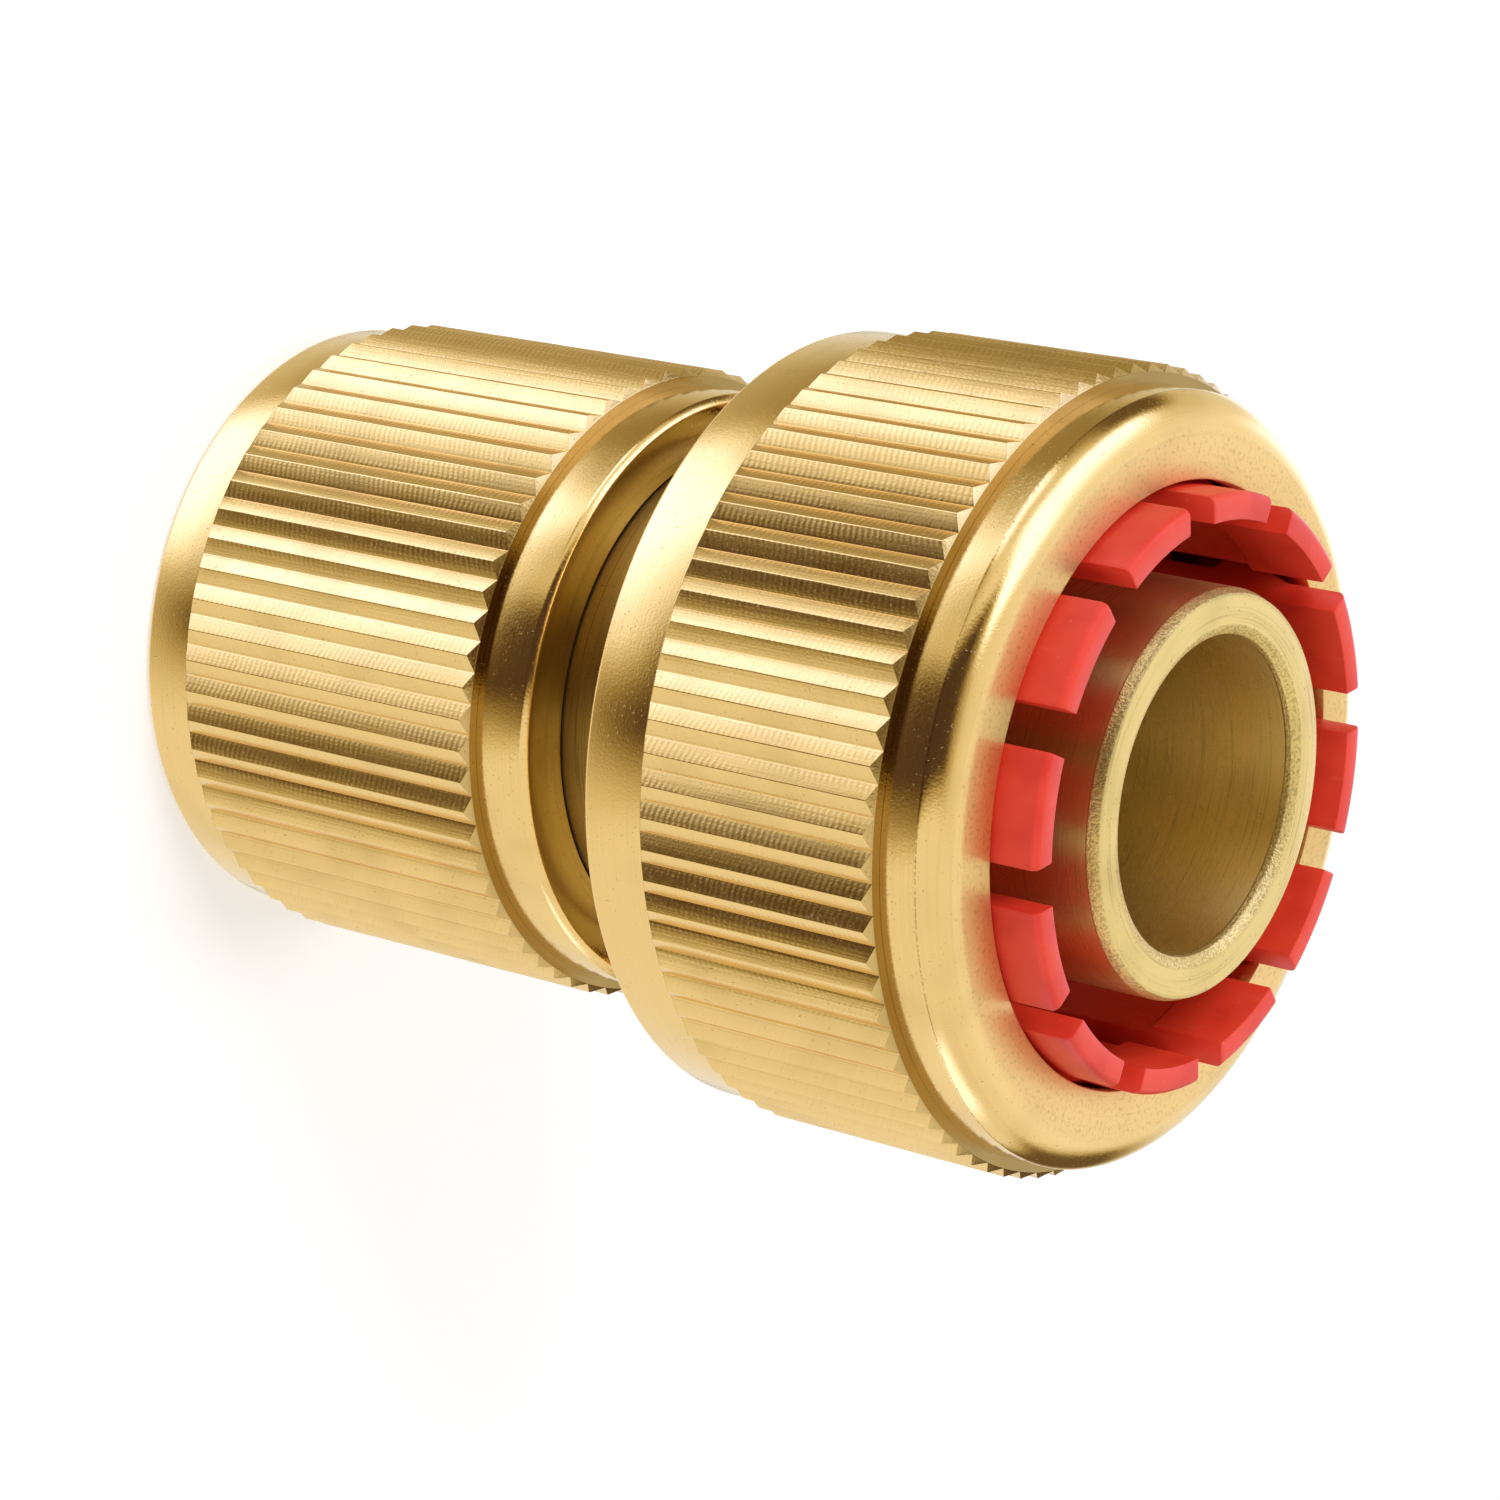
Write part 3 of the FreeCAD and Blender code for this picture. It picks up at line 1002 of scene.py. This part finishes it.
@dataclass
class SocketBody:
    """The turned body: socket, barrel, threaded flange, spigot and hose stem, in millimetres."""

    mouth_low: float = 0.4
    mouth_r: float = 8.8
    mouth_outer_r: float = 10.8
    mouth_end: float = 10.6
    socket_r: float = 8.05
    socket_start: float = 11.6
    socket_end: float = 23.0
    groove_r: float = 10.2
    groove_low: float = 1.4
    groove_high: float = 2.5
    barrel_r: float = 12.3
    shoulder: float = 22.0
    flange_r: float = 16.3
    flange_low: float = 32.0
    flange_high: float = 39.6
    flange_edge: float = 0.8
    spigot_high: float = 41.9
    stem_r: float = 9.76
    stem_bore_r: float = 7.59
    tip: float = 53.36
    tip_chamfer: tuple[float, float] = (0.22, 0.56)
    mouth_chamfer: tuple[float, float] = (0.48, 0.26)
    thread_pitch: float = 2.0
    thread_depth: float = 1.15
    ball_count: int = 6
    ball_height: float = 6.8
    pocket_r: float = 2.08
    pocket_apex: float = 6.931
    pocket_cone: float = 2.479

    def outline(self) -> list[Corner]:
        """Lay out the body's section.

        Returns:
            The corners, from the mouth outside to the mouth inside.
        """
        soft = 0.06
        edge = self.flange_edge
        low = self.mouth_low
        return [
            Corner(self.mouth_r + 0.5, low),
            Corner(self.mouth_outer_r - 0.3, low, soft),
            Corner(self.mouth_outer_r, low + 0.3, soft),
            Corner(self.mouth_outer_r, self.groove_low, soft),
            Corner(self.groove_r, self.groove_low),
            Corner(self.groove_r, self.groove_high),
            Corner(self.mouth_outer_r, self.groove_high, soft),
            Corner(self.mouth_outer_r, self.shoulder),
            Corner(self.barrel_r - 0.3, self.shoulder, soft),
            Corner(self.barrel_r, self.shoulder + 0.3, soft),
            Corner(self.barrel_r, self.flange_low),
            Corner(self.flange_r - edge, self.flange_low),
            Corner(self.flange_r, self.flange_low + edge),
            Corner(self.flange_r, self.flange_high - edge),
            Corner(self.flange_r - edge, self.flange_high),
            Corner(self.barrel_r, self.flange_high),
            Corner(self.barrel_r, self.spigot_high, soft),
            Corner(self.stem_r, self.spigot_high),
            Corner(self.stem_r, self.tip - self.tip_chamfer[1], 0.1),
            Corner(self.stem_r - self.tip_chamfer[0], self.tip, 0.08),
            Corner(self.stem_bore_r + self.mouth_chamfer[0], self.tip, 0.06),
            Corner(self.stem_bore_r, self.tip - self.mouth_chamfer[1], 0.06),
            Corner(self.stem_bore_r, self.socket_end),
            Corner(self.socket_r, self.socket_end),
            Corner(self.socket_r, self.socket_start, 0.3),
            Corner(self.mouth_r, self.mouth_end, 0.3),
            Corner(self.mouth_r, low + 0.5, soft),
        ]

    def thread_groove(self) -> Work:
        """The V groove of the thread, as a solid that runs past both ends of the flange.

        Returns:
            The helical solid.
        """
        margin = 1.0
        over = 0.3
        turns = math.ceil((self.flange_high - self.flange_low + 2 * margin) / self.thread_pitch)
        half = 0.85 * (self.thread_depth + over) / self.thread_depth
        start = self.flange_low - margin
        groove = Work.draw("thread_groove", [
            Corner(self.flange_r - self.thread_depth, start),
            Corner(self.flange_r + over, start + half),
            Corner(self.flange_r + over, start - half),
        ])
        groove.modify("SCREW", axis="Z", angle=math.tau, iterations=turns, steps=96, render_steps=96,
                      screw_offset=self.thread_pitch * MM, use_smooth_shade=False)
        groove.cap()
        return groove

    def ball_pockets(self) -> Work:
        """The radial drillings for the balls, with the cones that hold them.

        Returns:
            The six drills as one object.
        """
        cone_end = self.pocket_apex + self.pocket_cone
        depth = self.mouth_outer_r + 1.0 - cone_end
        Work.clear()
        bpy.ops.mesh.primitive_cylinder_add(
            vertices=48, radius=self.pocket_r * MM, depth=depth * MM,
            location=((cone_end + depth / 2) * MM, 0, self.ball_height * MM),
            rotation=(0, math.pi / 2, 0))
        drill = Work("ball_drill")
        drill.settle()
        drill.edit(everything=False)
        drill.pick_points(lambda place: place.x < (cone_end + 0.01) * MM)
        bpy.ops.mesh.extrude_region_move(
            TRANSFORM_OT_translate={"value": (-self.pocket_cone * 0.95 * MM, 0, 0)})
        bpy.ops.transform.resize(value=(1, 0.05, 0.05),
                                 center_override=(self.pocket_apex * MM, 0, self.ball_height * MM))
        drill.close()
        drill.repeat_round(self.ball_count)
        return drill

    def build(self) -> None:
        """Model, dress and place the body."""
        piece = Work.draw("body_turning", self.outline())
        piece.turn(192)
        piece.combine(self.thread_groove(), Joining.CUT)
        piece.combine(self.ball_pockets(), Joining.CUT)
        piece.smooth()
        rim = RoughRim(self.tip - self.tip_chamfer[1] - 0.05, self.stem_bore_r + self.mouth_chamfer[0],
                       self.stem_r - self.tip_chamfer[0])
        brass = TurnedBrass("body_brass_turned", (0.85, 0.645, 0.24), (0.25, 0.18, 0.05), roughness=0.40,
                            line_pitch=0.13, line_depth=3.0, line_shade=0.4, stretch=0.4, rim=rim,
                            height_darkening=HeightDarkening(self.flange_high, self.flange_low, 0.65))
        piece.hand_over(brass.make(), Part.BODY)


@dataclass
class ReturnSpring:
    """The coil spring inside the sleeve, its ends ground flat, in millimetres."""

    low: float = 10.35
    high: float = 22.0
    radius: float = 11.59
    wire_r: float = 0.65
    turns: float = 4.5
    steps: int = 288
    travel: float = 5.5

    def build(self) -> None:
        """Model, dress and place the spring."""
        Work.clear()
        bpy.ops.mesh.primitive_circle_add(
            vertices=20, radius=self.wire_r * MM, location=(self.radius * MM, 0, self.low * MM),
            rotation=(math.pi / 2, 0, 0))
        coil = Work("spring_coil")
        coil.settle()
        coil.modify("SCREW", axis="Z", angle=math.tau * self.turns, steps=self.steps,
                    render_steps=self.steps, screw_offset=(self.high - self.low) * MM,
                    use_smooth_shade=True)
        coil.cap()
        for end, side in ((self.low, -1), (self.high, 1)):
            coil.slice_off(Vector((0, 0, end * MM)), Vector((0, 0, side)))
        coil.smooth()
        coil.hand_over(DrawnSteel("spring_wire").make(), Part.SPRING)
        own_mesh(coil.piece)


@dataclass
class SnapRing:
    """The open ring of flat wire that stops the sleeve, in millimetres."""

    low: float = 1.43
    high: float = 2.47
    inner_r: float = 10.28
    outer_r: float = 13.2
    split: float = 5.0

    def build(self) -> None:
        """Model, dress and place the ring."""
        soft = 0.15
        piece = Work.draw("snap_ring_wire", [
            Corner(self.inner_r, self.low, soft),
            Corner(self.outer_r, self.low, soft),
            Corner(self.outer_r, self.high, soft),
            Corner(self.inner_r, self.high, soft),
        ])
        half = math.degrees(math.asin(self.split / 2 / self.inner_r))
        piece.swing(half / 2)
        piece.turn(120, 360 - half)
        for side in (-1, 1):
            piece.slice_off(Vector((0, side * self.split / 2 * MM, 0)), Vector((0, -side, 0)),
                            lambda place: place.x > 0 and place.y * side > 0)
        piece.close()
        piece.smooth()
        piece.hand_over(DrawnSteel("ring_flat_wire", (0.55, 0.55, 0.57), 0.3).make(), Part.RING)


@dataclass
class BallRace:
    """The locking balls, whose solids stay and get their polish."""

    count: int = 6

    def build(self) -> None:
        """Dress the balls."""
        steel = DrawnSteel("ball_polished", (0.75, 0.75, 0.76), 0.12, 0.05).make()
        for number in range(1, self.count + 1):
            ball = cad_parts[f"locking_ball_{number}"]
            for material_slot in ball.material_slots:
                material_slot.material = steel
        LOG.info("locking balls: %d dressed", self.count)


# ---------------------------------------------------------------- the studio


def compass(azimuth: float, elevation: float) -> Vector:
    """A direction in the connector's frame.

    Args:
        azimuth: Degrees round +Z from +X.
        elevation: Degrees above the floor's level.

    Returns:
        The direction.
    """
    turn, rise = math.radians(azimuth), math.radians(elevation)
    return Vector((math.cos(turn) * math.cos(rise), math.sin(turn) * math.cos(rise), math.sin(rise)))


@dataclass(frozen=True)
class View:
    """The camera of the photograph, in the connector's frame."""

    place: tuple[float, float, float] = (-0.190486, 0.0, 0.161973)
    right: tuple[float, float, float] = (0.567182, 0.203158, 0.798142)
    up: tuple[float, float, float] = (-0.109222, 0.979093, -0.171601)
    back: tuple[float, float, float] = (-0.816318, 0.010154, 0.577514)
    lens: float = 113.2
    sensor: float = 36.0

    def build(self) -> None:
        """Set the camera up."""
        camera = bpy.data.cameras.new("photograph_camera")
        camera.lens = self.lens
        camera.sensor_width = self.sensor
        camera.clip_start = 0.01
        holder = bpy.data.objects.new("photograph_camera", camera)
        turned = Matrix((self.right, self.up, self.back)).transposed().to_4x4()
        holder.matrix_world = Matrix.Translation(self.place) @ turned
        bpy.context.scene.collection.objects.link(holder)
        bpy.context.scene.camera = holder

    def direction(self, azimuth: float, elevation: float) -> Vector:
        """A direction that the photographer would name from behind the camera.

        Args:
            azimuth: Degrees to the right, from the camera.
            elevation: Degrees upwards in the picture.

        Returns:
            The direction in the connector's frame.
        """
        across, rise = math.radians(azimuth), math.radians(elevation)
        return (Vector(self.right) * math.sin(across) * math.cos(rise)
                + Vector(self.up) * math.sin(rise)
                + Vector(self.back) * math.cos(across) * math.cos(rise))


@dataclass(frozen=True)
class Panel:
    """A softbox or a flag: a rectangle with soft edges in what the metal mirrors, in degrees.

    Its angles are the photographer's, or for a standing one the connector's own: round +Z from +X.
    """

    azimuth: float
    elevation: float
    across: float
    rise: float
    fade: float
    level: float
    standing: bool = False


@dataclass(frozen=True)
class Lamp:
    """A soft lamp, in metres and watts."""

    name: str
    place: tuple[float, float, float]
    size: float
    power: float


@dataclass
class Studio:
    """White surroundings with softboxes and flags, a pale floor and soft lamps."""

    view: View = field(default_factory=View)
    ambient: float = 0.5
    mirrored: float = 0.9
    floor_size: float = 6.0
    floor_drop: float = 0.00002
    floor_pale: float = 0.86
    floor_glow: float = 0.35
    shadow_reach: tuple[float, float] = (0.04, 0.12)
    panels: tuple[Panel, ...] = (
        Panel(-132, 83, 45, 32, 0.50, 0.26),
        Panel(-61, 8, 29, 18, 0.60, 0.06),
        Panel(-14, 7, 52, 21, 0.30, 0.05),
        Panel(-94, 40, 18, 25, 0.40, 1.2),
        Panel(-101, 41, 14, 18, 0.50, 2.0),
        Panel(72, 28, 26, 20, 0.25, 2.0),
        Panel(113, -10, 30, 30, 0.40, 1.0),
        Panel(112, -3, 15, 19, 0.40, 1.9, standing=True),
        Panel(64, -3, 13, 19, 0.40, 0.1, standing=True),
        Panel(12, -3, 13, 19, 0.40, 1.7, standing=True),
        Panel(-34, -3, 14, 19, 0.40, 0.1, standing=True),
        Panel(-80, -3, 14, 19, 0.40, 1.6, standing=True),
    )
    lamps: tuple[Lamp, ...] = (
        Lamp("key_lamp", (-0.30, 0.45, 0.55), 0.45, 2.6),
        Lamp("fill_lamp", (-0.45, -0.50, 0.40), 0.50, 1.3),
        Lamp("back_lamp", (0.50, 0.20, 0.50), 0.40, 1.3),
    )

    def build(self) -> None:
        """Set up the camera, the surroundings, the floor and the lamps."""
        self.view.build()
        self.surroundings()
        self.floor()
        for lamp in self.lamps:
            self.hang(lamp)
        bpy.context.scene.view_settings.view_transform = "Standard"

    def surroundings(self) -> None:
        """White to the camera, panels to the metal, and a plain level for everything else."""
        world = bpy.data.worlds.new("studio")
        world.use_nodes = True
        bpy.context.scene.world = world
        desk = Desk(world.node_tree)
        direction = desk.add("ShaderNodeTexCoord").outputs["Generated"]
        level = None
        for panel in self.panels:
            mask = self.patch(desk, direction, panel)
            below = self.mirrored if level is None else level
            level = mask * (panel.level - below) + below
        colour = desk.vector(level ** 0.83, level, level ** 1.75 + 0.03)
        path = desk.add("ShaderNodeLightPath").outputs
        glossy = Number(desk, path["Is Glossy Ray"]).at_least(Number(desk, path["Is Transmission Ray"]))
        seen = desk.mixed((self.ambient,) * 3, colour, glossy)
        seen = desk.mixed(seen, (1.0, 1.0, 1.0), Number(desk, path["Is Camera Ray"]))
        back = desk.add("ShaderNodeBackground", sockets={"Color": seen, "Strength": 1.0})
        desk.add("ShaderNodeOutputWorld", sockets={"Surface": back.outputs[0]})

    def patch(self, desk: Desk, direction: Socket, panel: Panel) -> Number:
        """Where a panel covers the surroundings.

        Args:
            desk: The world's nodes.
            direction: The direction that is looked in.
            panel: The panel.

        Returns:
            A mask, 1 on the panel.
        """
        towards = compass if panel.standing else self.view.direction
        middle = towards(panel.azimuth, panel.elevation)
        rise = towards(panel.azimuth, panel.elevation + 90)
        across = rise.cross(middle)

        def part(axis: Vector) -> Number:
            """Measure the direction along an axis.

            Args:
                axis: The axis, of length 1.

            Returns:
                The direction's share along it.
            """
            node = desk.add("ShaderNodeVectorMath", {"operation": "DOT_PRODUCT"},
                            {0: direction, 1: tuple(axis)})
            return Number(desk, node.outputs["Value"])

        mask = part(middle).ramp(0.0, 0.05)
        for axis, half in ((across, panel.across), (rise, panel.rise)):
            reach = part(axis).size() / math.sin(math.radians(half))
            mask = mask * reach.ramp(1 + panel.fade, 1 - panel.fade)
        return mask

    def floor(self) -> None:
        """A pale floor that keeps the connector's shadow, and is plain white farther away."""
        Work.clear()
        bpy.ops.mesh.primitive_plane_add(size=self.floor_size, location=(0, 0, -self.floor_drop))
        plane = bpy.context.active_object
        plane.name = "floor"
        material, desk = new_material("floor_pale")
        camera = Number(desk, desk.add("ShaderNodeLightPath").outputs["Is Camera Ray"])
        _, x, y, _ = desk.place()
        away = ((x * x + y * y) ** 0.5).ramp(*self.shadow_reach)
        pale = (*(self.floor_pale,) * 3, 1)
        matt = desk.add("ShaderNodeBsdfDiffuse", sockets={"Color": pale}).outputs[0]
        glow, white = (
            desk.add("ShaderNodeEmission", sockets={"Color": (1, 1, 1, 1), "Strength": level}).outputs[0]
            for level in (self.floor_glow, 1.0))
        near = desk.add("ShaderNodeAddShader", sockets={0: glow, 1: matt}).outputs[0]
        seen = desk.add("ShaderNodeMixShader", sockets={0: away, 1: near, 2: white}).outputs[0]
        mix = desk.add("ShaderNodeMixShader", sockets={0: camera, 1: matt, 2: seen}).outputs[0]
        desk.add("ShaderNodeOutputMaterial", sockets={"Surface": mix})
        plane.data.materials.append(material)
        plane.visible_glossy = False

    @staticmethod
    def hang(lamp: Lamp) -> None:
        """Hang a lamp that faces the connector.

        Args:
            lamp: The lamp.
        """
        light = bpy.data.lights.new(lamp.name, "AREA")
        light.shape = "DISK"
        light.size = lamp.size
        light.energy = lamp.power
        holder = bpy.data.objects.new(lamp.name, light)
        aim = Vector((0, 0, 0.03)) - Vector(lamp.place)
        facing = aim.to_track_quat("-Z", "Y").to_matrix().to_4x4()
        holder.matrix_world = Matrix.Translation(lamp.place) @ facing
        holder.visible_glossy = False
        bpy.context.scene.collection.objects.link(holder)


def main() -> None:
    """Build the connector piece by piece, and the studio round it."""
    logging.basicConfig(level=logging.INFO, format="%(name)s: %(message)s")
    SocketBody().build()
    ReturnSpring().build()
    SnapRing().build()
    BallRace().build()
    ReleaseSleeve().build()
    HoseCollet().build()
    ClampNut().build()
    Studio().build()


if __name__ == "__main__":
    main()
